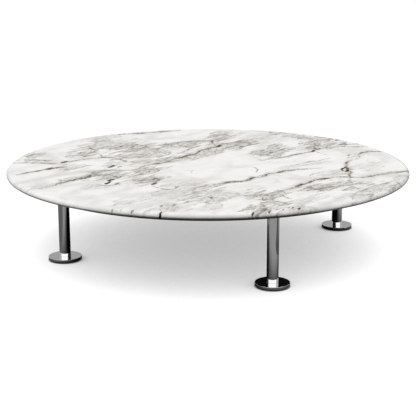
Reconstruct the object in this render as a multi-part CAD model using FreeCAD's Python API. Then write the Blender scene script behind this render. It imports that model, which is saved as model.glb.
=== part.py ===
import FreeCAD, Part
import math
import os

# Round cocktail table: a stone slab bonded to a board, on four screw-on legs with disc feet that level.
# Millimetres, +Z up. The origin is on the floor, under the middle of the slab.

# Slab
top_diameter = 1400.0
top_thickness = 18.0
table_height = 290.0
edge_reach_share = 0.9
edge_drop_share = 0.65

# Board under the slab, set back from its edge, and the layer of adhesive between them
board_set_back = 50.0
board_thickness = 15.0
board_edge_radius = 1.5
bond_thickness = 1.0
bond_set_back = 15.0

# Legs: tubes with a threaded plug in each end, set in from the slab's edge
leg_inset = 173.0
leg_diameter = 38.0
leg_wall = 2.0
plug_length = 30.0
plug_inset = 0.5

# Plate that carries each leg, its flange round the leg, and the pad between it and the board
plate_flange = 26.0
plate_thickness = 6.0
plate_edge_chamfer = 1.0
gasket_thickness = 1.5

# Countersunk screws, and the inserts in the board that they go into
screw_count = 4
screw_diameter = 6.0
screw_head_overhang = 3.0
screw_tip_gap = 2.0
screw_socket_width = 4.0
screw_socket_depth = 2.0
insert_wall = 2.0
insert_cover = 3.5
insert_hole_spare_depth = 1.5

# Studs: one screws the leg to its plate, the other levels the foot
stud_diameter = 12.0
leg_stud_reach = 25.0
foot_stud_reach = 28.0

# Foot: a disc that overhangs its sole, which sits in a shallow recess and stands proud below
foot_diameter = 112.0
foot_thickness = 8.5
foot_edge_radius = 1.0
foot_rim = 3.5
sole_proud = 5.0
sole_seat_depth = 2.0
sole_edge_radius = 1.0

# Shoulder screw that the sole swivels on
glide_thread_diameter = 6.0
glide_thread_length = 10.0
glide_thread_spare_depth = 2.0
glide_shoulder_step = 1.0
glide_head_overhang = 3.0
glide_head_height = 1.6
glide_head_set_back = 2.4
glide_socket_width = 4.0
glide_socket_depth = 1.0

# Clearances, each on a radius
thread_clearance = 0.05
plug_clearance = 0.05
bond_gap = 0.15
screw_hole_clearance = 0.3
countersink_clearance = 0.1
shoulder_clearance = 0.1
sole_rim_clearance = 0.3
glide_head_clearance = 0.5

# Sizes that follow from those above
board_diameter = top_diameter - 2 * board_set_back
tube_bore = leg_diameter - 2 * leg_wall
plate_diameter = leg_diameter + 2 * plate_flange
screw_circle = leg_diameter + plate_flange
screw_hole = screw_diameter + 2 * screw_hole_clearance
screw_head_diameter = screw_diameter + 2 * screw_head_overhang
insert_diameter = screw_diameter + 2 * insert_wall
insert_hole_depth = board_thickness - insert_cover
insert_length = insert_hole_depth - insert_hole_spare_depth
stud_bore = stud_diameter + 2 * thread_clearance
sole_recess_diameter = foot_diameter - 2 * foot_rim
sole_diameter = sole_recess_diameter - 2 * sole_rim_clearance
glide_shoulder_diameter = glide_thread_diameter + 2 * glide_shoulder_step
glide_head_diameter = glide_shoulder_diameter + 2 * glide_head_overhang

# Heights, from the floor up
glide_head_top = glide_head_set_back + glide_head_height
disc_bottom = sole_proud
disc_top = disc_bottom + foot_thickness
sole_top = disc_bottom + sole_seat_depth
slab_bottom = table_height - top_thickness
board_top = slab_bottom - bond_thickness
board_bottom = board_top - board_thickness
gasket_bottom = board_bottom - gasket_thickness
plate_bottom = gasket_bottom - plate_thickness
insert_top = board_bottom + insert_length
screw_top = insert_top - screw_tip_gap

# Where the legs stand: the corners of a square
corner_offset = (top_diameter / 2 - leg_inset) / math.sqrt(2)
corners = {
    "front_left": FreeCAD.Vector(-corner_offset, -corner_offset, 0),
    "front_right": FreeCAD.Vector(corner_offset, -corner_offset, 0),
    "back_left": FreeCAD.Vector(-corner_offset, corner_offset, 0),
    "back_right": FreeCAD.Vector(corner_offset, corner_offset, 0),
}


def rod(diameter, bottom, top):
    """An upright cylinder on the Z axis between two heights."""
    return Part.makeCylinder(diameter / 2, top - bottom, FreeCAD.Vector(0, 0, bottom))


def cone(lower_diameter, upper_diameter, bottom, top):
    """An upright cone on the Z axis between two heights."""
    base = FreeCAD.Vector(0, 0, bottom)
    return Part.makeCone(lower_diameter / 2, upper_diameter / 2, top - bottom, base)


def hex_socket(width, bottom, top):
    """A hexagonal prism on the Z axis, its width measured across the flats."""
    sides = 6
    corner_radius = width / math.sqrt(3)
    points = []
    for number in range(sides + 1):
        angle = 2 * math.pi * number / sides
        across = FreeCAD.Vector(math.cos(angle), math.sin(angle), 0) * corner_radius
        points.append(across + FreeCAD.Vector(0, 0, bottom))
    outline = Part.Face(Part.makePolygon(points))
    return outline.extrude(FreeCAD.Vector(0, 0, top - bottom))


def outer_edge(shape, height):
    """The longest edge of a shape that lies flat at one height."""
    same_height = 1e-6
    level_edges = []
    for edge in shape.Edges:
        box = edge.BoundBox
        if box.ZLength < same_height and abs(box.ZMin - height) < same_height:
            level_edges.append(edge)
    return max(level_edges, key=lambda edge: edge.Length)


def at_screws(shape):
    """Copies of a shape on the Z axis, one at each screw of a plate."""
    copies = []
    for number in range(screw_count):
        angle = 2 * math.pi * (number + 0.5) / screw_count
        copy = shape.copy()
        copy.translate(FreeCAD.Vector(math.cos(angle), math.sin(angle), 0) * (screw_circle / 2))
        copies.append(copy)
    return copies


def at_corner(shape, corner):
    """A copy of a leg's shape, moved from the Z axis to one corner."""
    copy = shape.copy()
    copy.translate(corner)
    return copy


# Slab: its edge falls away in a quarter of an ellipse above and is rounded under more tightly below
def slab_section():
    edge_reach = edge_reach_share * top_thickness
    edge_drop = edge_drop_share * top_thickness
    under_radius = top_thickness - edge_drop
    widest = FreeCAD.Vector(top_diameter / 2, 0, table_height - edge_drop)
    above = FreeCAD.Vector(top_diameter / 2 - edge_reach, 0, table_height)
    eased_middle = FreeCAD.Vector(above.x, 0, widest.z)
    eased = Part.ArcOfEllipse(Part.Ellipse(widest, above, eased_middle), 0, math.pi / 2)
    below = FreeCAD.Vector(top_diameter / 2 - under_radius, 0, slab_bottom)
    under_corner = FreeCAD.Vector(below.x, 0, widest.z)
    halfway = under_corner + FreeCAD.Vector(1, 0, -1) * (under_radius / math.sqrt(2))
    middle_below = FreeCAD.Vector(0, 0, slab_bottom)
    middle_above = FreeCAD.Vector(0, 0, table_height)
    return Part.Wire(
        [
            Part.makeLine(middle_below, below),
            Part.Arc(below, halfway, widest).toShape(),
            eased.toShape(),
            Part.makeLine(above, middle_above),
            Part.makeLine(middle_above, middle_below),
        ]
    )


def marble_top():
    section = slab_section()
    return Part.Face(section).revolve(FreeCAD.Vector(0, 0, 0), FreeCAD.Vector(0, 0, 1), 360)


# Bond: the layer of elastic adhesive that holds the slab on its board
def bond_layer():
    return rod(board_diameter - 2 * bond_set_back, board_top, slab_bottom)


# Board: stiffens the slab and takes the legs' screws, in blind holes from below
def carrier_board():
    board = rod(board_diameter, board_bottom, board_top)
    rims = [outer_edge(board, board_bottom), outer_edge(board, board_top)]
    board = board.makeFillet(board_edge_radius, rims)
    hole = rod(insert_diameter + 2 * bond_gap, board_bottom, board_bottom + insert_hole_depth)
    holes = []
    for corner in corners.values():
        for copy in at_screws(hole):
            holes.append(at_corner(copy, corner))
    return board.cut(holes)


# Inserts: threaded sleeves, flush with the board's underside
def board_inserts():
    sleeve = rod(insert_diameter, board_bottom, insert_top)
    bore = rod(screw_diameter + 2 * thread_clearance, board_bottom, insert_top)
    return Part.makeCompound(at_screws(sleeve.cut(bore)))


# Gasket: a pad that takes up the unevenness between the metal plate and the board
def plate_gasket():
    pad = rod(plate_diameter, gasket_bottom, board_bottom)
    return pad.cut(at_screws(rod(screw_hole, gasket_bottom, board_bottom)))


# Plate: countersunk for its screws, tapped in the middle for the leg's stud
def mount_plate():
    disc = rod(plate_diameter, plate_bottom, gasket_bottom)
    disc = disc.makeChamfer(plate_edge_chamfer, [outer_edge(disc, plate_bottom)])
    sink_diameter = screw_head_diameter + 2 * countersink_clearance
    sink_height = (sink_diameter - screw_hole) / 2
    sink = cone(sink_diameter, screw_hole, plate_bottom, plate_bottom + sink_height)
    sunk_hole = rod(screw_hole, plate_bottom, gasket_bottom).fuse(sink)
    return disc.cut([rod(stud_bore, plate_bottom, gasket_bottom)] + at_screws(sunk_hole))


# Screws: right-angled heads flush with the plate's underside, with a hexagonal socket
def plate_screws():
    head_top = plate_bottom + screw_head_overhang
    head = cone(screw_head_diameter, screw_diameter, plate_bottom, head_top)
    shank = rod(screw_diameter, head_top, screw_top)
    socket = hex_socket(screw_socket_width, plate_bottom, plate_bottom + screw_socket_depth)
    return Part.makeCompound(at_screws(head.fuse(shank).cut(socket)))


# Stud that the leg screws on to, through the plate's full thickness
def leg_stud():
    return rod(stud_diameter, plate_bottom - leg_stud_reach, gasket_bottom)


# Tube: from the foot's upper face to the plate
def leg_tube():
    return rod(leg_diameter, disc_top, plate_bottom).cut(rod(tube_bore, disc_top, plate_bottom))


# Plug: fills the tube's end and carries the thread
def threaded_plug(bottom, top):
    return rod(tube_bore - 2 * plug_clearance, bottom, top).cut(rod(stud_bore, bottom, top))


def leg_top_plug():
    top = plate_bottom - plug_inset
    return threaded_plug(top - plug_length, top)


def leg_bottom_plug():
    bottom = disc_top + plug_inset
    return threaded_plug(bottom, bottom + plug_length)


# Stud in the foot: tapped at its lower end for the screw that holds the sole
def foot_stud():
    stud = rod(stud_diameter, sole_top, disc_top + foot_stud_reach)
    tapped_top = sole_top + glide_thread_length + glide_thread_spare_depth
    return stud.cut(rod(glide_thread_diameter + 2 * thread_clearance, sole_top, tapped_top))


# Disc: rounded edges, a bore for the stud and a recess below for the sole
def foot_disc():
    disc = rod(foot_diameter, disc_bottom, disc_top)
    disc = disc.makeFillet(foot_edge_radius, [outer_edge(disc, disc_bottom), outer_edge(disc, disc_top)])
    recess = rod(sole_recess_diameter, disc_bottom, sole_top)
    return disc.cut([recess, rod(stud_bore, sole_top, disc_top)])


# Sole: stands on the floor, and stays still while the disc above it turns
def glide_sole():
    sole = rod(sole_diameter, 0, sole_top)
    sole = sole.makeFillet(sole_edge_radius, [outer_edge(sole, 0)])
    counterbore = rod(glide_head_diameter + 2 * glide_head_clearance, 0, glide_head_top)
    hole = rod(glide_shoulder_diameter + 2 * shoulder_clearance, glide_head_top, sole_top)
    return sole.cut([counterbore, hole])


# Screw under the sole: head, shoulder that the sole turns on, and thread
def glide_screw():
    head = rod(glide_head_diameter, glide_head_set_back, glide_head_top)
    shoulder = rod(glide_shoulder_diameter, glide_head_top, sole_top)
    thread = rod(glide_thread_diameter, sole_top, sole_top + glide_thread_length)
    socket = hex_socket(glide_socket_width, glide_head_set_back, glide_head_set_back + glide_socket_depth)
    return head.fuse([shoulder, thread]).cut(socket)


top_pieces = {"marble_top": marble_top, "bond_layer": bond_layer, "carrier_board": carrier_board}
leg_pieces = {
    "board_inserts": board_inserts,
    "plate_gasket": plate_gasket,
    "mount_plate": mount_plate,
    "plate_screws": plate_screws,
    "leg_stud": leg_stud,
    "leg_tube": leg_tube,
    "leg_top_plug": leg_top_plug,
    "leg_bottom_plug": leg_bottom_plug,
    "foot_stud": foot_stud,
    "foot_disc": foot_disc,
    "glide_sole": glide_sole,
    "glide_screw": glide_screw,
}

os.makedirs("parts", exist_ok=True)
for piece, make in top_pieces.items():
    shape = make()
    shape.exportStep(f"parts/{piece}.step")
    print(f"{piece}: {len(shape.Solids)} solid(s), {shape.Volume:.1f} mm3, valid {shape.isValid()}")
for piece, make in leg_pieces.items():
    shape = make()
    for corner_name, place in corners.items():
        at_corner(shape, place).exportStep(f"parts/{piece}_{corner_name}.step")
    print(f"{piece}: {len(shape.Solids)} solid(s) a leg, {shape.Volume:.1f} mm3, valid {shape.isValid()}")
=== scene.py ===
# %% [markdown]
# A low round table: a slab of veined white marble on a black board, with four chromed tube legs.
# Each leg stands on a disc foot that screws up and down to level the table.
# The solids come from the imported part; this lesson gives them final shapes and finishes, in metres.

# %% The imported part
from math import cos, pi, radians, sin
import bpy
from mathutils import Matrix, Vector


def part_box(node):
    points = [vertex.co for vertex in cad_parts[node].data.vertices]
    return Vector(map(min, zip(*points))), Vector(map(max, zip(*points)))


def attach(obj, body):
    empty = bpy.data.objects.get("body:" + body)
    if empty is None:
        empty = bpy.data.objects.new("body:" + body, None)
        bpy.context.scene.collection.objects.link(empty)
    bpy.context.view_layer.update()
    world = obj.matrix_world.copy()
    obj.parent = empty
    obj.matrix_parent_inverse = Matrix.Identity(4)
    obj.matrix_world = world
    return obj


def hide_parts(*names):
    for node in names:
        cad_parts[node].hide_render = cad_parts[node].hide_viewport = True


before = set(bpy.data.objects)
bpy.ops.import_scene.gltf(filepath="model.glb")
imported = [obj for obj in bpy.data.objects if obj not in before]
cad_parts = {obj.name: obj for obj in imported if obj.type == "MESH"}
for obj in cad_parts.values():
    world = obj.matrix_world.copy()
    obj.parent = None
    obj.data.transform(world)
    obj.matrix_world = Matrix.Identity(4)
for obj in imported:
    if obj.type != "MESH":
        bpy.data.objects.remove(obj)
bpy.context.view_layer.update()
from types import SimpleNamespace

import bmesh
import bpy
from mathutils import Vector

scene = bpy.context.scene

# %% [markdown]
# Sizes could be typed in again, but then a change to the part would leave this lesson behind.
# So they are measured: half the width of a node's box is a radius.

# %% Sizes read from the part
corners = ("front_left", "front_right", "back_left", "back_right")
slab_low, slab_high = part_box("marble_top")
slab_radius = (slab_high.x - slab_low.x) / 2
slab_thickness = slab_high.z - slab_low.z
leg_places = {}
for corner in corners:
    tube_low, tube_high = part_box(f"leg_tube_{corner}")
    leg_places[corner] = Vector(((tube_low.x + tube_high.x) / 2, (tube_low.y + tube_high.y) / 2, 0))


def radius_and_heights(node):
    """The radius, bottom and top of an upright round node."""
    low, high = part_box(node)
    return (high.y - low.y) / 2, low.z, high.z


tube_radius, tube_bottom, tube_top = radius_and_heights("leg_tube_front_left")
disc_radius, disc_bottom, disc_top = radius_and_heights("foot_disc_front_left")
sole_radius, sole_bottom, sole_top = radius_and_heights("glide_sole_front_left")
stud_radius, stud_bottom, stud_top = radius_and_heights("foot_stud_front_left")
print("slab radius", round(slab_radius, 4), "legs", len(leg_places), "tube radius", round(tube_radius, 4))

# %% [markdown]
# The camera stands right of the table's front and looks down about fifteen degrees.
# It could be set by eye, but the slab's long ellipse shows every error.
# So it was worked out from the outlines of the slab and the feet.

# %% Camera
camera_heading = radians(22.363)
camera_tilt = radians(14.518)
camera_place = (1.3875, -3.3723, 1.0720)
camera_data = bpy.data.cameras.new("camera")
camera_data.sensor_width = 36
camera_data.lens = 91.357
camera = bpy.data.objects.new("camera", camera_data)
camera.location = camera_place
camera.rotation_euler = (radians(90) - camera_tilt, 0, camera_heading)
scene.collection.objects.link(camera)
scene.camera = camera
print("camera at", camera_place)

# %% [markdown]
# Every finish here is a node tree: nodes and the links between them.
# They could be placed by hand in the shader editor, but in code a tree can be read and repeated.
# Each helper takes plain values or outputs of nodes, and finds the tree from the outputs.

# %% Node helpers
def feed(socket, value):
    """Link an output to a socket, or set the socket's own value."""
    if isinstance(value, bpy.types.NodeSocket):
        socket.id_data.links.new(value, socket)
    else:
        socket.default_value = value


def tree_of(*values):
    """The node tree of the first value that is a socket."""
    return next(value.id_data for value in values if isinstance(value, bpy.types.NodeSocket))


def place(tree, kind, inputs=None, **settings):
    """Add a shader node and return its outputs."""
    made = tree.nodes.new(f"ShaderNode{kind}")
    for name, value in settings.items():
        setattr(made, name, value)
    for key, value in (inputs or {}).items():
        feed(made.inputs[key], value)
    return made.outputs


def maths(operation, first, second=0.0):
    """One sum on two numbers."""
    tree = tree_of(first, second)
    return place(tree, "Math", {0: first, 1: second}, operation=operation)[0]


def product(first, *others):
    """Numbers multiplied together."""
    for other in others:
        first = maths("MULTIPLY", first, other)
    return first


def vector_maths(operation, first, second):
    """One sum on two vectors."""
    made = place(first.id_data, "VectorMath", {0: first, 1: second}, operation=operation)
    return made["Value" if operation in ("DOT_PRODUCT", "DISTANCE") else "Vector"]


def dot(first, second):
    """How far one vector reaches along another."""
    return vector_maths("DOT_PRODUCT", first, second)


def scaled(vector, factor):
    """A vector made longer or shorter."""
    tree = tree_of(vector, factor)
    return place(tree, "VectorMath", {0: vector, "Scale": factor}, operation="SCALE")["Vector"]


def ramp(value, low, high, at_low=0.0, at_high=1.0):
    """A smooth step of a value between two limits."""
    inputs = {"Value": value, "From Min": low, "From Max": high, "To Min": at_low, "To Max": at_high}
    smooth = {"interpolation_type": "SMOOTHSTEP", "clamp": False}
    return place(value.id_data, "MapRange", inputs, **smooth)[0]


def mixed_shader(share, first, second):
    """One shader blended into another."""
    return place(share.id_data, "MixShader", {0: share, 1: first, 2: second})[0]


print("node helpers:", [helper.__name__ for helper in (maths, product, dot, scaled, ramp)])

# %% [markdown]
# Nodes reckon in linear light, while a colour on a screen is a level from 0 to 255.
# A colour picker converts one by hand; a helper does it for all, with a warmth for browns.
# A material starts with its shader and the point that it shades, in the piece's own frame.

# %% Colour and material helpers
def grey(level, warmth=0.0):
    """A linear colour from a display level; warmth raises its red and lowers its blue."""
    blue_fall = 1.6
    parts = []
    for shift in (warmth, 0.0, -blue_fall * warmth):
        display = (level + shift) / 255
        # The display curve is a power with a short straight start.
        parts.append(((display + 0.055) / 1.055) ** 2.4 if display > 0.04 else display / 12.92)
    return (*parts, 1.0)


def mixed(share, first, second):
    """A colour between two colours."""
    inputs = {0: share, 6: first, 7: second}
    return place(share.id_data, "Mix", inputs, data_type="RGBA")[2]


def noise(point, scale, detail=2.0, output="Fac"):
    """Soft random mottle."""
    inputs = {"Vector": point, "Scale": scale, "Detail": detail}
    return place(point.id_data, "TexNoise", inputs)[output]


def new_material(name):
    """A material, its shader and the point that it shades."""
    material = bpy.data.materials.new(name)
    material.use_nodes = True
    shader = material.node_tree.nodes["Principled BSDF"]
    point = place(material.node_tree, "TexCoord")["Object"]
    return material, shader, point


def add_bump(shader, height, strength, depth):
    """Let a height tilt the surface for the light."""
    inputs = {"Height": height, "Strength": strength, "Distance": depth}
    feed(shader.inputs["Normal"], place(height.id_data, "Bump", inputs)[0])


print("white of the stone in linear light:", [round(v, 3) for v in grey(239, 0.6)])

# %% [markdown]
# The table stands on a pale overexposed floor that glows, with only its shadow painted into the glow.
# Lamps could light it, but each would cast a shadow of its own.
# Under an even sky a shadow is where the table hides the sky, which an occlusion node measures.
# A second one, with a short reach, paints a darker shadow along the line where the feet touch the floor.
# The chrome sees a grey glowing floor with painted shade: black beneath the table, and a painted dark patch
# at its right.

# %% Floor in the chrome
camera_right = (cos(camera_heading), sin(camera_heading), 0.0)
camera_ahead = (-sin(camera_heading), cos(camera_heading), 0.0)


def lit(tree, kind, colour, strength):
    """A shader that gives light of its own."""
    return place(tree, kind, {"Color": colour, "Strength": strength})[0]


def by_ray(tree, seen, mirrored, other):
    """A shader for the camera, one for mirror rays and one for the rest."""
    rays = place(tree, "LightPath")
    rest = mixed_shader(rays["Is Glossy Ray"], other, mirrored)
    return mixed_shader(rays["Is Camera Ray"], rest, seen)


def occlusion(tree, reach):
    """How much sky a point sees past what is within reach, from nought to one."""
    return place(tree, "AmbientOcclusion", {"Distance": reach}, samples=16)["AO"]


def mirrored_floor(point):
    """How light the floor is where a mirror ray meets it, from nought to one."""
    # Painted shade in the chrome's floor: dark beneath the table and in a dark patch to its right.
    table_fade = (0.44, 0.58)
    left_fade = (-0.78, -0.55)
    far_fade = (0.5, 0.8)
    dark_patch_left = (0.54, 0.58)
    dark_patch_near = (-0.86, -0.76)
    dark_patch_far = (-0.3, -0.2)
    right = dot(point, camera_right)
    ahead = dot(point, camera_ahead)
    middle = vector_maths("DISTANCE", point, (0, 0, 0))
    painted_shade_beneath = ramp(middle, *table_fade, 0.1, 1.0)
    at_left = ramp(right, *left_fade, 0.4, 1.0)
    behind = ramp(ahead, *far_fade, 1.0, 0.05)
    beside = ramp(right, *dark_patch_left)
    painted_dark_patch = product(beside, ramp(ahead, *dark_patch_near), ramp(ahead, *dark_patch_far, 1.0, 0.0))
    off_dark_patch = ramp(painted_dark_patch, 0.0, 1.0, 1.0, 0.3)
    return product(painted_shade_beneath, at_left, behind, off_dark_patch)


print("the camera looks along", [round(part, 3) for part in camera_ahead])

# %% Floor
MM = 0.001
floor_half = 12.0


def floor_material():
    shadow_light = 0.327
    sky_light = 1.476
    brightest = 1.15
    contact_reach = 7 * MM
    contact_light = 0.2
    material = bpy.data.materials.new("pale_floor")
    material.use_nodes = True
    tree = material.node_tree
    tree.nodes.clear()
    point = place(tree, "TexCoord")["Object"]
    open_sky = occlusion(tree, floor_half)
    near_sky = occlusion(tree, contact_reach)
    pale = mixed(noise(point, 3.0), grey(254), grey(255))
    # Painted shadow: the floor's glow dims where the table hides the sky and where the feet touch it.
    light = maths("ADD", product(open_sky, sky_light), shadow_light)
    light = product(light, ramp(near_sky, 0.5, 1.0, contact_light, 1.0))
    light = maths("MINIMUM", light, brightest)
    seen = lit(tree, "Emission", pale, light)
    # Painted shade for mirror rays: the chrome's floor also darkens where the table hides the sky.
    shade = product(mirrored_floor(point), ramp(open_sky, 0.09, 1.0))
    mirrored = lit(tree, "Emission", grey(183), shade)
    dark = place(tree, "BsdfDiffuse", {"Color": grey(6)})[0]
    place(tree, "OutputMaterial", {"Surface": by_ray(tree, seen, mirrored, dark)})
    return material


floor_mesh = bpy.data.meshes.new("floor")
floor_signs = ((-1, -1), (1, -1), (1, 1), (-1, 1))
floor_edge = [(across * floor_half, along * floor_half, 0) for across, along in floor_signs]
floor_mesh.from_pydata(floor_edge, [], [(0, 1, 2, 3)])
floor_mesh.materials.append(floor_material())
floor = bpy.data.objects.new("floor", floor_mesh)
scene.collection.objects.link(floor)
print("floor is", 2 * floor_half, "m wide")

# %% [markdown]
# Large soft lamps light the stone from both sides, from above the camera and from behind.
# Two low ones brighten the slab's rounded edge.
# Area lamps would do, but the chrome would mirror them, so they are spots on a sky that it doesn't see.
# The camera sees plain white there, and the chrome a bright panel low behind the camera.

# %% Lamps
# Each lamp: degrees to the right of the camera's side, degrees above the floor, how narrow, how strong.
softboxes = [
    (-90, 48, 8, 2.65),
    (90, 42, 8, 1.6),
    (0, 52, 8, 1.9),
    (180, 55, 8, 0.6),
    (-85, 12, 16, 1.3),
    (80, 15, 16, 0.9),
]


def beam(side, height):
    """The direction towards a lamp."""
    across = cos(radians(height)) * sin(radians(side))
    near = cos(radians(height)) * cos(radians(side))
    up = Vector((0, 0, sin(radians(height))))
    return Vector(camera_right) * across - Vector(camera_ahead) * near + up


def lamp_light(direction):
    """How much light all the lamps send from one direction."""
    total = 0.0
    for side, height, tightness, strength in softboxes:
        towards = dot(direction, beam(side, height))
        spread = maths("POWER", maths("MAXIMUM", towards, 0.0), tightness)
        total = maths("ADD", total, product(spread, strength))
    return total


print("lamps:", len(softboxes), "strengths:", [lamp[-1] for lamp in softboxes])

# %% Sky
def mirrored_sky(ahead, up):
    """How bright the chrome sees the sky: even, with a panel behind the camera and a glow."""
    even_light = 0.53
    panel_light = 2.2
    glow_light = 0.9
    panel_back = (-0.25, -0.08)
    panel_bottom = (0.08, 0.16)
    panel_top = (0.55, 0.75)
    glow_near = (0.05, 0.45)
    glow_far = (0.65, 0.9)
    panel = ramp(ahead, *panel_back, 1.0, 0.0)
    panel = product(panel, ramp(up, *panel_bottom), ramp(up, *panel_top, 1.0, 0.0))
    glow = product(ramp(ahead, *glow_near), ramp(ahead, *glow_far, 1.0, 0.0))
    light = maths("ADD", even_light, product(panel, panel_light))
    return maths("ADD", light, product(glow, glow_light))


def studio_sky():
    horizon = (0.0, 0.02)
    world = bpy.data.worlds.new("studio")
    world.use_nodes = True
    tree = world.node_tree
    tree.nodes.clear()
    direction = place(tree, "TexCoord")["Generated"]
    ahead = dot(direction, camera_ahead)
    up = place(tree, "SeparateXYZ", {0: direction})["Z"]
    mirrored = lit(tree, "Background", grey(255), mirrored_sky(ahead, up))
    seen = lit(tree, "Background", grey(255), 1.0)
    overhead = product(lamp_light(direction), ramp(up, *horizon))
    light = lit(tree, "Background", grey(255), overhead)
    place(tree, "OutputWorld", {"Surface": by_ray(tree, seen, mirrored, light)})
    return world


scene.world = studio_sky()
scene.view_settings.view_transform = "Standard"
print("sky:", scene.world.name)

# %% [markdown]
# Nearly every piece of this table is turned on a lathe or cut from round stock.
# A ready-made cylinder has no recess and no stepped bore, so a profile is swept round the Z axis.
# A point beside each rounded corner keeps the flat faces flat in reflections.

# %% Lathe helpers
def rounded(outline, steps=6):
    """The outline's points, with an arc at each corner that has a radius.

    A corner is (distance from the axis, height) or (distance, height, radius).
    """
    support = 1.2
    points = []
    for number, corner in enumerate(outline):
        here = Vector(corner[:2])
        if len(corner) == 2:
            points.append(here)
            continue
        radius = corner[2]
        before = (Vector(outline[number - 1][:2]) - here).normalized()
        after = (Vector(outline[(number + 1) % len(outline)][:2]) - here).normalized()
        points.append(here + before * radius * support)
        middle = here + (before + after) * radius
        for step in range(steps + 1):
            turn = pi / 2 * step / steps
            points.append(middle - after * radius * cos(turn) - before * radius * sin(turn))
        points.append(here + after * radius * support)
    return points


def ring(shape, radius, height, segments, middle=(0.0, 0.0)):
    """A circle of points round an upright axis."""
    made = []
    for step in range(segments):
        turn = 2 * pi * step / segments
        spot = (middle[0] + radius * cos(turn), middle[1] + radius * sin(turn), height)
        made.append(shape.verts.new(spot))
    return made


def skin(shape, lower, upper):
    """Faces between two circles of as many points."""
    for step in range(len(lower)):
        after = (step + 1) % len(lower)
        shape.faces.new((lower[step], lower[after], upper[after], upper[step]))


def finished_mesh(shape, name, sharp_degrees=35):
    """A mesh with its faces turned outwards, smooth but for its sharp edges."""
    bmesh.ops.recalc_face_normals(shape, faces=shape.faces)
    mesh = bpy.data.meshes.new(name)
    shape.to_mesh(mesh)
    shape.free()
    mesh.shade_smooth()
    mesh.set_sharp_from_angle(angle=radians(sharp_degrees))
    return mesh


def turned(name, outline, segments):
    """A closed outline, rounded and swept once round the Z axis, as a ring-shaped piece."""
    shape = bmesh.new()
    rings = [ring(shape, distance, height, segments) for distance, height in rounded(outline)]
    for number, lower in enumerate(rings):
        skin(shape, lower, rings[(number + 1) % len(rings)])
    return finished_mesh(shape, name)


print("a rounded square corner has", len(rounded([(0, 0), (1, 0, 0.1), (1, 1)])), "points")

# %% [markdown]
# The slab is sawn, and its edge is ground: eased gently above and rounded more tightly below.
# A bevel would round both rims alike, so its skin is rings, with many small steps round the edge.

# %% Slab
def slab_mesh(segments=512, edge_steps=16):
    edge_reach_share = 0.9
    edge_drop_share = 0.65
    inner_shares = (0.06, 0.25, 0.45, 0.65, 0.82, 0.95, 0.999)
    edge_reach = edge_reach_share * slab_thickness
    edge_drop = edge_drop_share * slab_thickness
    under_radius = slab_thickness - edge_drop
    flat_radius = slab_radius - edge_reach
    under_flat_radius = slab_radius - under_radius
    widest_height = slab_high.z - edge_drop
    shape = bmesh.new()
    rings = [ring(shape, flat_radius * share, slab_high.z, segments) for share in inner_shares]
    for step in range(edge_steps + 1):
        turn = pi / 2 * step / edge_steps
        height = widest_height + edge_drop * cos(turn)
        rings.append(ring(shape, flat_radius + edge_reach * sin(turn), height, segments))
    for step in range(1, edge_steps + 1):
        turn = pi / 2 * step / edge_steps
        height = widest_height - under_radius * sin(turn)
        rings.append(ring(shape, under_flat_radius + under_radius * cos(turn), height, segments))
    for share in reversed(inner_shares):
        rings.append(ring(shape, under_flat_radius * share, slab_low.z, segments))
    for lower, upper in zip(rings, rings[1:]):
        skin(shape, lower, upper)
    shape.faces.new(rings[0])
    shape.faces.new(rings[-1])
    return finished_mesh(shape, "marble_slab")


slab = slab_mesh()
print("slab faces:", len(slab.polygons))

# %% [markdown]
# A black board stiffens the stone and takes the legs' screws; set back, it shows only its front edge.
# Boolean modifiers could cut the sixteen holes for inserts below, but tend to leave thin faces.
# So the flat is filled round their mouths.

# %% Board
board_radius, board_bottom, board_top = radius_and_heights("carrier_board")


def blind_holes(shape, segments=32):
    """Holes for the inserts in the board's underside; returns their mouths."""
    hole_radius = 5.15 * MM
    hole_depth = 11.5 * MM
    screw_circle_radius = 32 * MM
    screws_at_leg = 4
    mouths = []
    for spot in leg_places.values():
        for number in range(screws_at_leg):
            turn = pi / 4 + pi / 2 * number
            middle = (spot.x + screw_circle_radius * cos(turn), spot.y + screw_circle_radius * sin(turn))
            mouth = ring(shape, hole_radius, board_bottom, segments, middle)
            end = ring(shape, hole_radius, board_bottom + hole_depth, segments, middle)
            skin(shape, mouth, end)
            shape.faces.new(end)
            mouths.append(mouth)
    return mouths


def board_mesh(segments=384):
    rim = 1.5 * MM
    inner_radius = 0.1 * board_radius
    under_radius = board_radius - 2 * rim
    outline = [
        (inner_radius, board_top),
        (board_radius, board_top, rim),
        (board_radius, board_bottom, rim),
        (under_radius, board_bottom),
    ]
    shape = bmesh.new()
    rings = [ring(shape, distance, height, segments) for distance, height in rounded(outline)]
    for lower, upper in zip(rings, rings[1:]):
        skin(shape, lower, upper)
    shape.faces.new(rings[0])
    edges = []
    for border in [rings[-1], *blind_holes(shape)]:
        for first, second in zip(border, border[1:] + border[:1]):
            edges.append(shape.edges.get((first, second)))
    bmesh.ops.triangle_fill(shape, use_beauty=True, edges=edges, normal=(0, 0, -1))
    return finished_mesh(shape, "board")


board = board_mesh()
print("board faces:", len(board.polygons))

# %% [markdown]
# The tube is cut from stock, the disc foot is turned from bar, and the sole in it is moulded.
# Each could be put together from cylinders, but one closed profile makes it without a seam.

# %% Tubes, discs and soles
def tube_mesh():
    bore_radius = tube_radius - 2 * MM
    rim = 0.4 * MM
    outline = [
        (bore_radius, tube_bottom, rim),
        (tube_radius, tube_bottom, rim),
        (tube_radius, tube_top, rim),
        (bore_radius, tube_top, rim),
    ]
    return turned("tube", outline, segments=128)


def disc_mesh():
    edge = 1 * MM
    bore_radius = stud_radius + 0.05 * MM
    recess_radius = sole_radius + 0.3 * MM
    outline = [
        (bore_radius, sole_top),
        (recess_radius, sole_top),
        (recess_radius, disc_bottom),
        (disc_radius, disc_bottom, edge),
        (disc_radius, disc_top, edge),
        (bore_radius, disc_top),
    ]
    return turned("disc", outline, segments=192)


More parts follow.
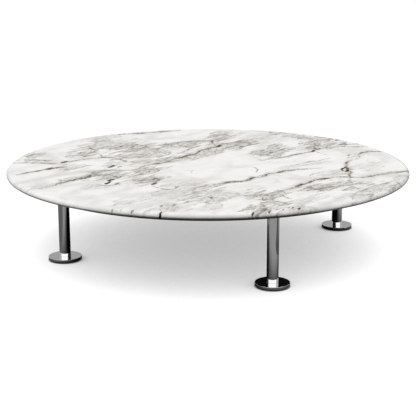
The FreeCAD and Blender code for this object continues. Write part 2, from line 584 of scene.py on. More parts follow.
def sole_mesh():
    hole_radius = 4.1 * MM
    counterbore_radius = 7.5 * MM
    counterbore_top = 4.0 * MM
    outline = [
        (hole_radius, counterbore_top),
        (counterbore_radius, counterbore_top),
        (counterbore_radius, sole_bottom, 0.5 * MM),
        (sole_radius, sole_bottom, 1 * MM),
        (sole_radius, sole_top, 0.3 * MM),
        (hole_radius, sole_top),
    ]
    return turned("sole", outline, segments=160)


print("tube, disc and sole faces:", [len(make().polygons) for make in (tube_mesh, disc_mesh, sole_mesh)])

# %% [markdown]
# The stud that levels the foot has a real thread, which shows when the foot is screwed out.
# A bump texture would leave its outline smooth.
# So the radius follows a wave in height that climbs one pitch in each turn.

# %% Threaded stud
thread_pitch = 1.75 * MM


def thread_radius(height, share_of_turn):
    """How far the thread is from the axis, at one height and one part of a turn."""
    root_depth = 0.61 * thread_pitch
    flank_slope = 2.6
    crest_share = 0.15
    run_out = thread_pitch
    near_end = min(height - disc_top, stud_top - height)
    fade = min(1.0, max(0.0, near_end / run_out))
    climb = (height / thread_pitch - share_of_turn) % 1.0
    groove = min(1.0, max(0.0, flank_slope * abs(climb - 0.5) - crest_share))
    taper = root_depth if height > stud_top - run_out else 0.0
    depth = root_depth * groove * fade + taper * (1.0 - fade)
    return stud_radius - depth


def stud_mesh(segments=48, rows_in_pitch=10):
    bore_radius = 3.05 * MM
    bore_top = stud_bottom + 12 * MM
    rows = int((stud_top - disc_top) / thread_pitch * rows_in_pitch)
    shape = bmesh.new()
    bore_end = shape.verts.new((0, 0, bore_top))
    rings = [ring(shape, bore_radius, bore_top, segments)]
    rings.append(ring(shape, bore_radius, stud_bottom, segments))
    rings.append(ring(shape, stud_radius, stud_bottom, segments))
    for row in range(rows + 1):
        height = disc_top + (stud_top - disc_top) * row / rows
        made = []
        for step in range(segments):
            turn = 2 * pi * step / segments
            radius = thread_radius(height, step / segments)
            made.append(shape.verts.new((radius * cos(turn), radius * sin(turn), height)))
        rings.append(made)
    for lower, upper in zip(rings, rings[1:]):
        skin(shape, lower, upper)
    for step in range(segments):
        shape.faces.new((bore_end, rings[0][step], rings[0][(step + 1) % segments]))
    shape.faces.new(rings[-1])
    return finished_mesh(shape, "stud", sharp_degrees=50)


print("stud faces:", len(stud_mesh().polygons))

# %% [markdown]
# Several finishes have a faint mottle, as of handling, or the circular marks of a lathe or wheel.
# Every material could repeat their nodes; as node groups they are made only once.

# %% Shared finish groups
def add_sockets(tree, side, kind, names):
    """Give a node group sockets of one kind on its input or output side."""
    for name in names:
        tree.interface.new_socket(name=name, in_out=side, socket_type=f"NodeSocket{kind}")


def new_group(name, vectors, numbers, outputs):
    """An empty node group with named sockets; returns its tree, inputs and outputs."""
    tree = bpy.data.node_groups.new(name, "ShaderNodeTree")
    add_sockets(tree, "INPUT", "Vector", vectors)
    add_sockets(tree, "INPUT", "Float", numbers)
    add_sockets(tree, "OUTPUT", "Float", outputs)
    start = tree.nodes.new("NodeGroupInput").outputs
    end = tree.nodes.new("NodeGroupOutput").inputs
    return tree, start, end


def place_group(group, inputs):
    """Place a node group and return its outputs."""
    made = tree_of(*inputs.values()).nodes.new("ShaderNodeGroup")
    made.node_tree = group
    for name, value in inputs.items():
        feed(made.inputs[name], value)
    return made.outputs


def mottle_group():
    fine_ratio = 7.0
    broad_share = 0.7
    fine_share = 0.3
    numbers = ["Size", "Low", "High"]
    tree, start, end = new_group("surface_mottle", ["Point"], numbers, ["Value", "Mask"])
    scale = maths("DIVIDE", 1.0, start["Size"])
    broad = noise(start["Point"], scale, 3.0)
    fine = noise(start["Point"], product(scale, fine_ratio), 2.0)
    broad = product(broad, broad_share)
    both = maths("ADD", broad, product(fine, fine_share))
    mask = ramp(both, 0.35, 0.65)
    feed(end["Mask"], mask)
    feed(end["Value"], ramp(mask, 0.0, 1.0, start["Low"], start["High"]))
    return tree


def turning_marks_group():
    tree, start, end = new_group("turning_marks", ["Point"], ["Spacing", "Upright"], ["Height"])
    parts = place(tree, "SeparateXYZ", {0: start["Point"]})
    flat = place(tree, "CombineXYZ", {0: parts["X"], 1: parts["Y"]})[0]
    across = vector_maths("DISTANCE", flat, (0, 0, 0))
    along = product(parts["Z"], start["Upright"])
    travel = maths("DIVIDE", maths("ADD", across, along), start["Spacing"])
    line = place(tree, "CombineXYZ", {0: travel})[0]
    feed(end["Height"], noise(line, 1.0, 4.0))
    return tree


surface_mottle = mottle_group()
turning_marks = turning_marks_group()
print("shared groups:", surface_mottle.name, turning_marks.name)

# %% [markdown]
# The stone is a white marble broken into lumps, with grey matter between them and brown-grey veins.
# Noise alone makes a marble, but not this one, and a picture would bring its light and shadows along.
# So groups draw one vein or one patch, each placed one by one.
# A place is in millimetres right and away from the slab's middle, as the camera sees them.

# %% Vein groups
def on_slab(right, away):
    """A point of the slab, from millimetres right and away as the camera sees them."""
    turned_x = right * cos(camera_heading) - away * sin(camera_heading)
    turned_y = right * sin(camera_heading) + away * cos(camera_heading)
    return Vector((turned_x, turned_y, 0)) * MM


def vein_place_group():
    vectors = ["Point", "Start", "Heading", "Side"]
    tree, start, end = new_group("vein_place", vectors, [], ["Along", "Across"])
    offset = vector_maths("SUBTRACT", start["Point"], start["Start"])
    feed(end["Along"], dot(offset, start["Heading"]))
    feed(end["Across"], dot(offset, start["Side"]))
    return tree


def vein_profile_group():
    end_fade = 14 * MM
    core_share = 0.3
    soft_share = 2.6
    soft_strength = 0.32
    numbers = ["Along", "Across", "Path", "Strength", "Length", "Width", "Haze Width", "Ragged"]
    numbers += ["Line So Far", "Haze So Far"]
    tree, start, end = new_group("vein_profile", [], numbers, ["Line", "Haze"])
    path = maths("SUBTRACT", start["Path"], 0.5)
    apart = maths("ABSOLUTE", maths("SUBTRACT", start["Across"], path))
    apart = product(apart, start["Length"])
    before = product(start["Along"], -1.0)
    beyond = maths("MAXIMUM", before, maths("SUBTRACT", start["Along"], 1.0))
    fade = ramp(product(beyond, start["Length"]), 0.0, end_fade, 1.0, 0.0)
    strength = product(fade, start["Strength"])
    core = product(start["Width"], core_share)
    line = ramp(maths("DIVIDE", apart, start["Ragged"]), core, start["Width"], 1.0, 0.0)
    soft_width = product(start["Width"], soft_share)
    soft = ramp(maths("DIVIDE", apart, start["Ragged"]), 0.0, soft_width, soft_strength, 0.0)
    line = product(maths("MAXIMUM", line, soft), strength)
    feed(end["Line"], maths("MAXIMUM", line, start["Line So Far"]))
    haze = ramp(apart, 0.0, start["Haze Width"], 1.0, 0.0)
    haze = product(haze, strength)
    feed(end["Haze"], maths("MAXIMUM", haze, start["Haze So Far"]))
    return tree


vein_place = vein_place_group()
vein_profile = vein_profile_group()
print("groups of a vein:", vein_place.name, vein_profile.name)

# %% Patch group
def patch_group():
    rim_reach = 1.05
    vectors = ["Point", "Middle", "Long", "Short"]
    numbers = ["Strength", "Ragged", "Core", "So Far"]
    tree, start, end = new_group("stone_patch", vectors, numbers, ["Mask"])
    offset = vector_maths("SUBTRACT", start["Point"], start["Middle"])
    along = dot(offset, start["Long"])
    across = dot(offset, start["Short"])
    square = maths("ADD", maths("POWER", along, 2.0), maths("POWER", across, 2.0))
    reach = maths("ADD", maths("SQRT", square), start["Ragged"])
    mask = product(ramp(reach, start["Core"], rim_reach, 1.0, 0.0), start["Strength"])
    feed(end["Mask"], maths("MAXIMUM", mask, start["So Far"]))
    return tree


stone_patch = patch_group()
print("group of a patch:", stone_patch.name)

# %% [markdown]
# Pressure drew this stone out in one direction, so its streaks and lumps lie along a grain.
# Plain noise looks the same every way, so two groups stretch it by a long and a short size.

# %% Grain groups
grain = radians(72)
grain_way = (cos(grain), sin(grain), 0)
cross_way = (-sin(grain), cos(grain), 0)
grain_inputs = (["Point"], ["Long Size", "Short Size"])


def along_grain(tree, start):
    """The point counted in long sizes along the grain and in short sizes across it."""
    along = dot(start["Point"], grain_way)
    across = dot(start["Point"], cross_way)
    long_count = maths("DIVIDE", along, start["Long Size"])
    short_count = maths("DIVIDE", across, start["Short Size"])
    return place(tree, "CombineXYZ", {0: long_count, 1: short_count})[0]


def streaks_group():
    tree, start, end = new_group("stone_streaks", *grain_inputs, ["Value"])
    feed(end["Value"], noise(along_grain(tree, start), 1.0, 4.0))
    return tree


def fragments_group():
    seam_reach = 0.22
    tree, start, end = new_group("stone_fragments", *grain_inputs, ["Tint", "Chance", "Seam"])
    add_sockets(tree, "OUTPUT", "Vector", ["Middle"])
    cells = {"Vector": along_grain(tree, start), "Scale": 1.0}
    flat = {"voronoi_dimensions": "2D"}
    edges = place(tree, "TexVoronoi", cells, feature="DISTANCE_TO_EDGE", **flat)["Distance"]
    nearest = place(tree, "TexVoronoi", cells, **flat)
    chances = place(tree, "SeparateColor", {0: nearest["Color"]})
    spot = place(tree, "SeparateXYZ", {0: nearest["Position"]})
    middle_along = scaled(grain_way, product(spot["X"], start["Long Size"]))
    middle_across = scaled(cross_way, product(spot["Y"], start["Short Size"]))
    feed(end["Tint"], chances[0])
    feed(end["Chance"], chances[1])
    feed(end["Seam"], ramp(edges, 0.0, seam_reach, 1.0, 0.0))
    feed(end["Middle"], vector_maths("ADD", middle_along, middle_across))
    return tree


stone_streaks = streaks_group()
stone_fragments = fragments_group()
print("groups of the grain:", stone_streaks.name, stone_fragments.name)

# %% [markdown]
# In the ground a vein was a crack that filled with darker minerals, so it wanders, swells and dies out.
# A wave texture makes such lines all alike, so every vein is a path of stops, placed one by one.

# %% Veins of this slab
# Each vein: half its width, the reach of its haze, and its stops (right, away, strength in tenths).
veins = [
    (9, 50, [(45, 315, 10), (0, 265, 7.5), (-25, 230, 9), (-45, 180, 9.5), (-75, 140, 9), (-100, 100, 8),
        (-130, 65, 10), (-155, 15, 8), (-185, -15, 7), (-220, -45, 5), (-240, -80, 3)]),
    (5, 30, [(-30, 310, 5), (-55, 290, 9), (-80, 230, 5), (-105, 190, 3)]),
    (5, 30, [(-130, 150, 4), (-150, 70, 5), (-170, 20, 4)]),
    (6, 30, [(-370, 290, 3), (-330, 310, 7), (-280, 330, 6), (-200, 320, 5), (-160, 350, 8), (-120, 385, 7),
        (-70, 415, 10), (-40, 420, 7), (15, 425, 5)]),
    (5, 20, [(45, 315, 10), (25, 350, 8), (15, 420, 7), (25, 480, 3)]),
    (6, 30, [(45, 315, 9), (60, 370, 5), (90, 390, 4), (130, 420, 5), (200, 470, 3)]),
    (3, 12, [(45, 315, 9), (30, 230, 4), (30, 190, 4), (25, 150, 2)]),
    (7, 20, [(-510, 20, 10), (-490, 35, 8), (-470, 55, 6), (-440, 80, 6), (-400, 95, 7), (-360, 105, 10),
        (-330, 90, 8)]),
    (7, 20, [(-360, 105, 9), (-330, 90, 8), (-305, 60, 6), (-290, 30, 6), (-270, 25, 9), (-250, 20, 5)]),
    (9, 25, [(-650, 60, 5), (-600, 55, 7), (-560, 50, 3)]),
    (8, 25, [(-685, 10, 4), (-600, 10, 6), (-550, 0, 6), (-500, -20, 3)]),
    (7, 22, [(-640, -180, 6), (-620, -150, 6), (-585, -125, 10), (-545, -85, 10), (-490, -60, 5),
        (-475, -55, 3)]),
    (9, 30, [(-548, -400, 1), (-500, -340, 5), (-465, -290, 8), (-440, -255, 8), (-400, -215, 9),
        (-395, -170, 8.5), (-385, -120, 7)]),
    (5, 20, [(-430, -250, 7), (-405, -235, 8), (-380, -205, 7), (-350, -170, 4)]),
    (6, 25, [(-395, -130, 5), (-385, -120, 6), (-350, -120, 6), (-310, -110, 6), (-250, -105, 3)]),
    (4, 10, [(-345, -165, 6), (-320, -200, 9), (-308, -218, 8)]),
    (4, 10, [(-282, -185, 7), (-290, -205, 9), (-305, -235, 9)]),
    (9, 30, [(-148, -380, 10), (-120, -395, 6), (-90, -350, 5), (-60, -330, 5), (-10, -345, 3.5),
        (30, -320, 5), (50, -305, 7), (70, -290, 10), (110, -275, 10), (135, -255, 8), (150, -225, 10),
        (170, -215, 10), (190, -190, 8), (205, -160, 7), (240, -145, 7), (260, -125, 7), (280, -110, 7),
        (310, -95, 6), (350, -85, 5), (400, -70, 1.5)]),
    (10, 32, [(250, -395, 4), (285, -355, 7), (310, -315, 9), (325, -300, 9), (345, -270, 10),
        (385, -240, 9), (420, -220, 6), (460, -215, 6), (510, -220, 6), (560, -190, 7), (600, -160, 7),
        (640, -140, 7), (690, -110, 6)]),
    (8, 22, [(305, -410, 3.5), (340, -390, 4.5), (380, -365, 5), (420, -340, 5), (455, -330, 6)]),
    (6, 25, [(310, -375, 3), (350, -345, 4), (400, -320, 4), (430, -325, 2)]),
    (6, 25, [(180, 45, 3), (230, 85, 6), (275, 110, 7), (320, 155, 7), (360, 190, 8), (390, 215, 10)]),
    (6, 25, [(388, 212, 10), (400, 260, 6), (405, 300, 6), (415, 370, 5), (410, 400, 3)]),
    (5, 18, [(390, 215, 10), (400, 235, 8), (430, 280, 6), (460, 290, 7), (500, 305, 5)]),
    (3, 10, [(400, 205, 8), (420, 170, 6), (435, 145, 5)]),
    (6, 14, [(495, 335, 5), (505, 345, 10), (540, 352, 10), (575, 358, 9), (590, 355, 3)]),
    (5, 14, [(480, 305, 4), (500, 308, 8), (540, 302, 8), (590, 310, 6)]),
    (6, 20, [(485, 0, 10), (500, 40, 6), (520, 65, 5), (545, 100, 5), (555, 150, 4), (565, 180, 9),
        (575, 195, 9), (600, 212, 9), (618, 215, 10)]),
    (5, 15, [(615, 214, 10), (640, 205, 6), (658, 200, 9)]),
    (4, 10, [(512, 125, 4), (516, 140, 7), (522, 155, 4)]),
    (3.5, 12, [(280, -70, 2), (300, -30, 3), (330, 0, 4), (357, 28, 9), (385, 50, 6), (420, 70, 5),
        (440, 90, 3)]),
    (6, 16, [(490, 15, 8), (485, -10, 6), (480, -40, 6), (482, -80, 10), (483, -120, 10), (490, -140, 8),
        (478, -170, 8), (475, -220, 6), (460, -270, 4), (465, -310, 3)]),
    (5, 10, [(475, -85, 6), (462, -110, 10), (468, -135, 5)]),
    (5, 16, [(650, -165, 1), (638, -210, 2), (625, -260, 2.5), (610, -295, 3)]),
    (3, 12, [(330, -240, 3), (360, -170, 4), (385, -150, 4), (430, -110, 3)]),
    (2.5, 8, [(160, -60, 6), (172, -90, 8), (165, -135, 6)]),
    (2, 6, [(-45, -100, 3), (-55, -110, 6), (-60, -150, 5)]),
    (2, 6, [(-80, -112, 3), (-60, -112, 5), (-40, -118, 4)]),
    (12, 30, [(-360, 560, 4), (-310, 575, 5), (-265, 590, 9), (-200, 620, 7), (-115, 655, 5)]),
    (4, 18, [(-80, -425, 3.5), (-75, -480, 3), (-90, -520, 3)]),
    (4, 14, [(200, -440, 5), (185, -470, 6), (170, -520, 6), (185, -550, 4)]),
    (4, 14, [(220, -410, 4), (245, -430, 6), (235, -470, 6), (250, -510, 5)]),
    (6, 18, [(165, -560, 3.5), (162, -620, 4.5), (165, -670, 3)]),
    (8, 20, [(-350, -330, 6), (-310, -340, 5), (-285, -310, 4)]),
    (4, 12, [(-455, 320, 3), (-440, 275, 7), (-430, 250, 4)]),
    (4, 12, [(-390, 150, 5), (-380, 110, 6)]),
    (5, 16, [(-178, -225, 7), (-165, -250, 8), (-172, -280, 9), (-175, -320, 9)]),
    (4, 12, [(-160, -235, 6), (-130, -200, 4)]),
]
print("veins placed:", len(veins), "with stops:", sum(len(vein[2]) for vein in veins))

# %% [markdown]
# Between the veins lie patches of grey broken stone, and here and there a knot of dark mineral.
# Noise would scatter them evenly, but here they crowd beside the veins, so they are placed one by one as
# well.

# %% Grey patches and dark knots of this slab
# Each patch: right, away, half length, half width, bearing in degrees, strength in tenths.
patches = [
    (-235, 190, 160, 85, 50, 10), (-105, 345, 115, 58, 35, 9), (-300, 315, 100, 55, 20, 9),
    (-140, 80, 140, 40, 50, 8), (-435, 295, 110, 60, 55, 9), (-410, 480, 100, 50, 60, 6),
    (-465, 160, 85, 50, 40, 8), (-15, 165, 150, 40, 52, 8), (-235, 30, 95, 42, 45, 7),
    (230, 205, 150, 62, 72, 10), (115, 350, 105, 58, 60, 10), (50, 550, 115, 60, 65, 10),
    (445, 430, 135, 60, 50, 10), (395, 285, 90, 45, 60, 6), (340, 520, 120, 46, -45, 8),
    (-635, 155, 62, 36, 60, 7), (-610, 40, 90, 42, -12, 6), (-480, -70, 60, 34, 30, 6),
    (-408, -195, 135, 24, 55, 9), (-375, -175, 80, 34, 60, 10), (-365, -140, 70, 42, 40, 8),
    (-222, -130, 88, 52, 53, 10), (-200, -265, 95, 52, 55, 9), (-325, -190, 85, 44, 40, 9),
    (-20, -445, 110, 62, 70, 7), (150, -450, 60, 36, 65, 8), (210, -475, 80, 42, 70, 10),
    (40, -500, 80, 38, 60, 6), (-235, -545, 80, 42, 60, 5), (180, -610, 95, 56, 60, 10),
    (-120, -615, 90, 40, 25, 6), (385, -350, 115, 46, 38, 10), (525, -372, 115, 62, 42, 10),
    (465, -315, 85, 48, 20, 9), (265, -630, 55, 28, 15, 6), (630, -245, 85, 28, 70, 3.5),
    (482, -110, 85, 26, 82, 6), (450, 325, 110, 50, 45, 10), (330, -30, 120, 26, 38, 4),
    (420, -170, 110, 36, 40, 4), (-60, -330, 110, 36, 12, 5), (560, 160, 90, 30, 60, 5),
    (-530, -350, 90, 26, 45, 4), (-320, -345, 130, 40, 20, 4), (-130, -470, 115, 62, 60, 3.5),
    (300, -530, 95, 48, 50, 4), (-330, 420, 120, 60, 40, 3.5), (200, 500, 120, 60, 55, 3.5),
    (560, -30, 120, 60, 60, 3), (40, 460, 120, 46, 78, 9), (-425, 400, 110, 36, 85, 7),
    (-305, 5, 75, 42, 45, 6), (470, -455, 85, 52, 50, 7), (0, -620, 70, 40, 40, 5),
    (-255, 300, 90, 50, 70, 9),
]
# Each knot: right, away, radius, strength in tenths.
knots = [
    (-320, -258, 10, 10), (-324, -300, 9, 10), (-340, -50, 11, 8), (-310, -50, 8, 5), (-295, -310, 8, 6),
    (-178, -240, 9, 6), (-175, -315, 8, 7), (5, -500, 7, 7), (-100, -590, 6, 5), (-140, -605, 6, 6),
    (-140, -682, 5, 10), (165, -650, 4, 8), (180, -668, 4, 8), (130, -682, 4, 9), (250, -625, 5, 8),
    (268, -632, 5, 9), (220, -650, 4, 7), (302, -636, 5, 6), (-330, 315, 8, 5), (-445, 275, 7, 5),
    (-365, 255, 7, 5), (-285, 300, 7, 5), (-275, 340, 7, 5), (-165, 350, 7, 5), (-100, 330, 7, 5),
    (205, 230, 7, 5), (235, 195, 7, 5), (120, 300, 7, 4), (505, 440, 8, 6), (470, 430, 7, 4),
    (-475, 180, 7, 6), (-450, 125, 7, 6), (45, 315, 11, 8), (390, 215, 9, 8), (-510, 20, 9, 9),
    (-545, -85, 13, 5), (255, 605, 8, 4), (275, 560, 8, 4), (430, 515, 8, 4), (-645, 150, 8, 4),
    (-680, 130, 8, 4), (-490, -95, 8, 4), (-360, 560, 8, 4), (465, -90, 8, 10), (478, -122, 8, 10),
    (474, -70, 6, 9), (-282, -633, 3, 6), (-222, -657, 4, 6), (-254, -640, 3, 3), (236, -627, 4, 7),
]
print("patches placed:", len(patches), "knots placed:", len(knots))

# %% [markdown]
# Straight pieces between the stops of a vein would show their joints.
# So two smooth curves run through them: one for its path beside a chord, one for its strength.
# Each vein or patch is laid over those before it, and the stronger of the two is kept.

# %% Placing veins and patches
def float_curve(value, stops):
    """A curve through given stops, each from nought to one."""
    made = place(value.id_data, "FloatCurve", {"Value": value})[0].node
    curve = made.mapping.curves[0]
    curve.points[0].location = stops[0]
    curve.points[-1].location = stops[-1]
    for stop in stops[1:-1]:
        curve.points.new(*stop)
    made.mapping.update()
    return made.outputs[0]


def add_vein(point, ragged, line, haze, half_width, haze_width, stops):
    """One placed vein, laid over the line and the haze of the veins so far."""
    spots = [on_slab(*stop[:2]) for stop in stops]
    chord = spots[-1] - spots[0]
    heading = chord / chord.length_squared
    side = Vector((-heading.y, heading.x, 0))
    path = []
    strengths = []
    for spot, stop in zip(spots, stops):
        along = min(1.0, max(0.0, (spot - spots[0]).dot(heading)))
        path.append((along, 0.5 + (spot - spots[0]).dot(side)))
        strengths.append((along, stop[2] / 10))
    placing = {"Point": point, "Start": spots[0], "Heading": heading, "Side": side}
    where = place_group(vein_place, placing)
    inputs = {
        "Along": where["Along"],
        "Across": where["Across"],
        "Path": float_curve(where["Along"], path),
        "Strength": float_curve(where["Along"], strengths),
        "Length": chord.length,
        "Width": half_width * MM,
        "Haze Width": haze_width * MM,
        "Ragged": ragged,
        "Line So Far": line,
        "Haze So Far": haze,
    }
    profile = place_group(vein_profile, inputs)
    return profile["Line"], profile["Haze"]


def add_patch(point, ragged, core, so_far, right, away, half_length, half_width, bearing, strength):
    """One placed patch or knot, laid over the mask of those so far."""
    ahead = on_slab(cos(radians(bearing)), sin(radians(bearing))) / MM
    beside = Vector((-ahead.y, ahead.x, 0))
    inputs = {
        "Point": point,
        "Middle": on_slab(right, away),
        "Long": ahead / (half_length * MM),
        "Short": beside / (half_width * MM),
        "Strength": strength / 10,
        "Ragged": ragged,
        "Core": core,
        "So Far": so_far,
    }
    return place_group(stone_patch, inputs)["Mask"]


first_stop = veins[0][2][0]
print("the first vein starts at", on_slab(*first_stop[:2]))

# %% [markdown]
# Nothing in stone is drawn with a ruler, so noise bends the point before anything is looked up.
# One noise with many octaves would be simpler, but lumps and streaks could not be set apart.

# %% Textures of the stone
def bent(point, scale, amount):
    """A point shifted by noise."""
    colour = noise(point, scale, 2.0, "Color")
    shift = vector_maths("SUBTRACT", colour, (0.5, 0.5, 0.5))
    return vector_maths("ADD", point, scaled(shift, amount))


def grained(group, point, long_size, short_size):
    """Streaks or broken lumps of a size in millimetres."""
    sizes = {"Long Size": long_size * MM, "Short Size": short_size * MM}
    return place_group(group, {"Point": point, **sizes})


def stone_textures(point):
    """What bends, breaks and streaks the pattern."""
    broad_bend = (9.0, 26 * MM)
    small_bend = (42.0, 9 * MM)
    lump_pull = 0.3
    stone = SimpleNamespace(point=point)
    stone.bend = bent(bent(point, *broad_bend), *small_bend)
    stone.ragged = ramp(noise(point, 34.0, 3.0), 0.3, 0.7, 0.35, 1.7)
    stone.lumps = grained(stone_fragments, stone.bend, 92, 46)
    stone.crumbs = grained(stone_fragments, stone.bend, 40, 20)
    stone.boulders = grained(stone_fragments, stone.bend, 300, 150)
    to_middle = vector_maths("SUBTRACT", stone.lumps["Middle"], stone.bend)
    stone.in_lump = vector_maths("ADD", stone.bend, scaled(to_middle, lump_pull))
    stone.streaks = grained(stone_streaks, stone.bend, 75, 17)["Value"]
    stone.fine = grained(stone_streaks, stone.bend, 34, 9)["Value"]
    return stone


def lay_pattern(stone):
    """Lay every placed vein, patch and knot into the stone's masks."""
    patch_core = 0.45
    knot_core = 0.85
    knot_length = 2.2
    knot_width = 0.8
    knot_bearing = 70
    by_streak = ramp(stone.streaks, 0.3, 0.7, 0.3, -0.45)
    by_lump = ramp(stone.lumps["Chance"], 0.0, 1.0, -0.25, 0.2)
    patch_edge = maths("ADD", by_streak, by_lump)
    knot_edge = ramp(noise(stone.point, 80.0, 3.0), 0.25, 0.75, -0.3, 0.25)
    broad_fresh = ramp(noise(stone.bend, 17.0, 3.0), 0.35, 0.62, 0.6, 1.1)
    stone.fresh = product(broad_fresh, ramp(stone.fine, 0.32, 0.58, 0.65, 1.15))
    stone.line = 0.0
    stone.haze = 0.0
    for vein in veins:
        stone.line, stone.haze = add_vein(stone.bend, stone.ragged, stone.line, stone.haze, *vein)
    stone.patch = 0.0
    for patch in patches:
        stone.patch = add_patch(stone.in_lump, patch_edge, patch_core, stone.patch, *patch)
    stone.knot = 0.0
    for right, away, radius, strength in knots:
        form = (radius * knot_length, radius * knot_width, knot_bearing, strength)
        stone.knot = add_patch(stone.bend, knot_edge, knot_core, stone.knot, right, away, *form)


print("the grain lies at", round(grain * 180 / pi), "degrees to the X axis")

# %% [markdown]
# The colour is built in layers: the white ground, grey patches with streaks and seams, veins and knots.
# One colour ramp would be simpler, but in this stone grey, brown and white lie over each other.
# Low on the edge the colour is darker: painted shade, where the rounded edge turns away from the light. The
# sawn underside is dull.

# %% Layers of the marble
def white_ground(stone):
    """The white ground; also sets how much grey matter lies on it, and how that is streaked."""
    haze_share = 0.8
    cloud_share = 0.07
    clouds = ramp(noise(stone.bend, 6.0, 4.0), 0.35, 0.7)
    wisps = ramp(noise(stone.bend, 24.0, 4.0), 0.4, 0.7)
    density = maths("MAXIMUM", stone.patch, product(stone.haze, haze_share))
    stone.density = maths("MAXIMUM", density, product(clouds, cloud_share))
    mirrored = vector_maths("MULTIPLY", stone.bend, (-1, 1, 1))
    stone.speckle = grained(stone_streaks, mirrored, 24, 7)["Value"]
    by_streak = ramp(stone.streaks, 0.34, 0.62, 0.45, 1.2)
    by_streak = product(by_streak, ramp(stone.fine, 0.35, 0.62, 0.6, 1.2))
    stone.streaking = product(by_streak, ramp(stone.speckle, 0.38, 0.62, 0.5, 1.5))
    white = mixed(product(clouds, wisps), grey(239, 0.6), grey(225, 1.4))
    patchy = ramp(noise(stone.point, 5.0, 3.0), 0.35, 0.6, 0.1, 0.6)
    return mixed(product(stone.boulders["Seam"], patchy), white, grey(205, 3.0))


def grey_matter(stone, colour):
    """The grey patches over the ground, with their streaks and the seams between their lumps."""
    crumb_seam_share = 0.3
    tint = ramp(stone.lumps["Tint"], 0.1, 0.9, 0.55, 1.0)
    tint = product(tint, ramp(stone.crumbs["Tint"], 0.0, 1.0, 0.6, 1.0))
    body = product(stone.density, tint, stone.streaking)
    colour = mixed(body, colour, grey(183, 4.0))
    accent = ramp(stone.fine, 0.54, 0.68)
    accent = product(accent, ramp(stone.density, 0.25, 0.9, 0.0, 0.75))
    colour = mixed(accent, colour, grey(138, 7.0))
    worn_seam = ramp(noise(stone.point, 20.0, 3.0), 0.35, 0.65, 0.0, 0.8)
    lump_seam = product(stone.lumps["Seam"], worn_seam)
    crumb_seam = product(stone.crumbs["Seam"], crumb_seam_share)
    seam = maths("MAXIMUM", lump_seam, crumb_seam)
    return mixed(product(seam, stone.density), colour, grey(116, 7.0))


def veins_and_knots(stone, colour):
    """The veins, grey at their sides and brown in the middle, and the dark knots."""
    line = product(stone.line, stone.fresh)
    stone.line = product(line, ramp(stone.speckle, 0.38, 0.62, 0.65, 1.25))
    colour = mixed(ramp(stone.line, 0.0, 0.75), colour, grey(132, 7.0))
    colour = mixed(ramp(stone.line, 0.7, 1.05), colour, grey(76, 11.0))
    return mixed(stone.knot, colour, grey(44, 17.0))


print("layers:", [layer.__name__ for layer in (white_ground, grey_matter, veins_and_knots)])

# %% Marble
def above_underside(height, low, high, at_low=0.0, at_high=1.0):
    """A smooth step between two heights above the slab's underside, in millimetres."""
    return ramp(height, slab_low.z + low * MM, slab_low.z + high * MM, at_low, at_high)


def marble_material():
    painted_shade_strength = 0.5
    sawn_roughness = 0.75
    vein_roughness = 0.12
    polish = {"Size": 50 * MM, "Low": 0.09, "High": 0.14}
    material, shader, point = new_material("polished_marble")
    stone = stone_textures(point)
    lay_pattern(stone)
    colour = veins_and_knots(stone, grey_matter(stone, white_ground(stone)))
    height = place(point.id_data, "SeparateXYZ", {0: point})["Z"]
    # Painted shade: a dark band low on the edge, just above the underside.
    painted_shade = above_underside(height, 0.5, 3)
    painted_shade = product(painted_shade, above_underside(height, 4, 9, painted_shade_strength, 0.0))
    feed(shader.inputs["Base Color"], mixed(painted_shade, colour, grey(40, 3.0)))
    worn = place_group(surface_mottle, {"Point": point, **polish})
    rough = maths("ADD", worn["Value"], product(stone.line, vein_roughness))
    sawn = above_underside(height, 1, 3, sawn_roughness, 0.0)
    feed(shader.inputs["Roughness"], maths("ADD", rough, sawn))
    crystals = noise(point, 900.0, 2.0)
    add_bump(shader, crystals, 0.02, 0.5 * MM)
    shader.inputs["IOR"].default_value = 1.45
    shader.inputs["Specular IOR Level"].default_value = 0.004
    return material


marble = marble_material()
print("marble nodes:", len(marble.node_tree.nodes))

# %% [markdown]
# The chrome is hard plating over polished steel: a dark mirror with faint wheel marks.
# The hidden metal is plainer: zinc, turned steel and brass.
# One colour and one roughness would do from afar. For close views each metal wanders between two.

# %% Chrome and other metals
def mottled_material(name, colour, second_colour, roughness, mottle_size):
    """A material that wanders between two colours and two roughnesses."""
    low, high = roughness
    material, shader, point = new_material(name)
    wear = place_group(surface_mottle, {"Point": point, "Size": mottle_size, "Low": low, "High": high})
    feed(shader.inputs["Base Color"], mixed(wear["Mask"], colour, second_colour))
    feed(shader.inputs["Roughness"], wear["Value"])
    return material, shader, point


def metal_material(name, colour, second_colour, roughness, spacing, upright, mark_strength):
    """A bright metal with a mottled polish and circular marks."""
    mark_depth = 0.1 * MM
    material, shader, point = mottled_material(name, colour, second_colour, roughness, 20 * MM)
    marks = place_group(turning_marks, {"Point": point, "Spacing": spacing, "Upright": upright})
    add_bump(shader, marks["Height"], mark_strength, mark_depth)
    shader.inputs["Metallic"].default_value = 1.0
    return material


# Each metal: name, two colours, two roughnesses, spacing of its marks, how far they run upright, strength.
deep_brass = (0.62, 0.42, 0.16, 1)
pale_brass = (0.7, 0.5, 0.22, 1)
chrome = metal_material("polished_chrome", grey(196), grey(200), (0.02, 0.045), 0.8 * MM, 1.0, 0.01)
zinc = metal_material("zinc_plate", grey(176, 1), grey(192, 3), (0.24, 0.36), 0.4 * MM, 1.0, 0.15)
turned_steel = metal_material("turned_steel", grey(168), grey(182), (0.2, 0.32), 0.3 * MM, 0.4, 0.3)
brass = metal_material("machined_brass", deep_brass, pale_brass, (0.2, 0.32), 0.3 * MM, 1.0, 0.25)
print("metals:", [metal.name for metal in (chrome, zinc, turned_steel, brass)])

# %% [markdown]
# The other pieces are dull: powder coat, rubber, nylon, lacquer, and the silicone that bonds the slab.
# Plain black would hide their shape, so a mottle and a fine bump give each its skin.

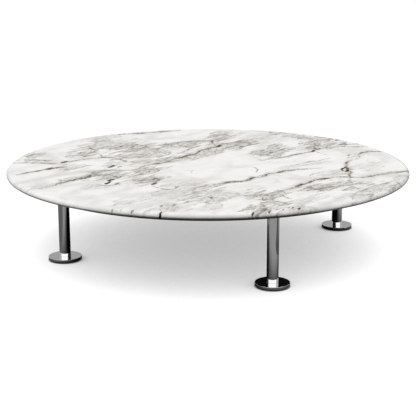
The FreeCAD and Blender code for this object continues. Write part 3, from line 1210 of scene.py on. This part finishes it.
# %% Powder coat, rubber and plastic
def dull_material(name, colour, second_colour, roughness, grain_size, grain_strength):
    """A dull coat or moulding with a fine grain."""
    grain_depth = 0.3 * MM
    material, shader, point = mottled_material(name, colour, second_colour, roughness, 15 * MM)
    fine_grain = noise(point, 1.0 / grain_size, 3.0)
    add_bump(shader, fine_grain, grain_strength, grain_depth)
    return material


# Each finish: name, two colours, two roughnesses, size and strength of its grain.
powder_coat = dull_material("black_powder_coat", grey(38), grey(48), (0.38, 0.5), 1.6 * MM, 0.35)
rubber = dull_material("black_rubber", grey(34), grey(44), (0.7, 0.85), 0.7 * MM, 0.25)
nylon = dull_material("moulded_nylon", grey(40), grey(50), (0.45, 0.6), 0.9 * MM, 0.2)
lacquer = dull_material("black_lacquer", grey(10), grey(15), (0.4, 0.52), 3 * MM, 0.15)
silicone = dull_material("black_silicone", grey(36), grey(44), (0.55, 0.7), 2 * MM, 0.2)
print("dull finishes:", [finish.name for finish in (powder_coat, rubber, nylon, lacquer, silicone)])

# %% [markdown]
# Last, the pieces take their places, and each keeps to the body that it moves with.
# The disc turns with the foot, and the sole only rises and falls.
# The small inner pieces could be made again, but are right as they come, so they only get their finish.

# %% Pieces in place
def stand(name, mesh, spot, node, body, material):
    """Put a piece in place of its solid and let it move with the solid's body."""
    mesh.materials.append(material)
    piece = bpy.data.objects.new(name, mesh)
    piece.location = spot
    scene.collection.objects.link(piece)
    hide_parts(node)
    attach(piece, body)


middle_spot = (0, 0, 0)
stand("slab", slab, middle_spot, "marble_top", "table", marble)
stand("board", board, middle_spot, "carrier_board", "table", lacquer)
for corner, spot in leg_places.items():
    foot = f"{corner}_foot"
    sole = f"{corner}_sole"
    stand(f"tube_{corner}", tube_mesh(), spot, f"leg_tube_{corner}", "table", chrome)
    stand(f"disc_{corner}", disc_mesh(), spot, f"foot_disc_{corner}", foot, chrome)
    stand(f"sole_{corner}", sole_mesh(), spot, f"glide_sole_{corner}", sole, nylon)
    stand(f"stud_{corner}", stud_mesh(), spot, f"foot_stud_{corner}", foot, zinc)

corner_finishes = {
    "board_inserts": brass,
    "plate_gasket": rubber,
    "mount_plate": powder_coat,
    "plate_screws": zinc,
    "leg_stud": zinc,
    "leg_top_plug": turned_steel,
    "leg_bottom_plug": turned_steel,
    "glide_screw": zinc,
}
node_finishes = {"bond_layer": silicone}
for piece, finish in corner_finishes.items():
    for corner in corners:
        node_finishes[f"{piece}_{corner}"] = finish
for name, finish in node_finishes.items():
    for material_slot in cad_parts[name].material_slots:
        material_slot.material = finish
